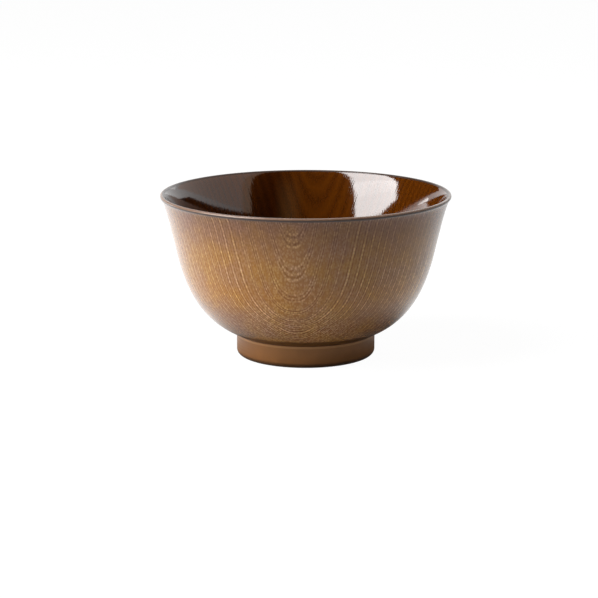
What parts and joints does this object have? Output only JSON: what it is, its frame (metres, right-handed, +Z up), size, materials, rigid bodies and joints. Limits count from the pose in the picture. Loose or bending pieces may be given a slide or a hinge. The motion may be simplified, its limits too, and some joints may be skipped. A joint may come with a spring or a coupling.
{
  "type": "soup bowl",
  "caption": "Round turned wooden soup bowl on a foot ring, with a flared lip, a grained satin outside and a glossy amber lacquered inside.",
  "frame": {"origin": "middle of the foot ring's rest face, on the table", "axes": "+Z up along the bowl's axis, towards its open mouth; X and Y are alike, and -Y faces the viewer of the picture"},
  "size_m": [0.118, 0.118, 0.0666],
  "materials": {
    "wood_core": "turned, bare",
    "inner_coat": "glossy amber lacquer",
    "lip_coat": "glossy dark lacquer",
    "outer_coat": "satin lacquer, pores filled pale",
    "foot_coat": "smooth satin lacquer",
    "recess_coat": "dark satin lacquer"
  },
  "bodies": {
    "root": {"wood_core": "wood_core", "inner_coat": "inner_coat", "lip_coat": "lip_coat", "outer_coat": "outer_coat", "foot_coat": "foot_coat", "recess_coat": "recess_coat"}
  },
  "joints": []
}
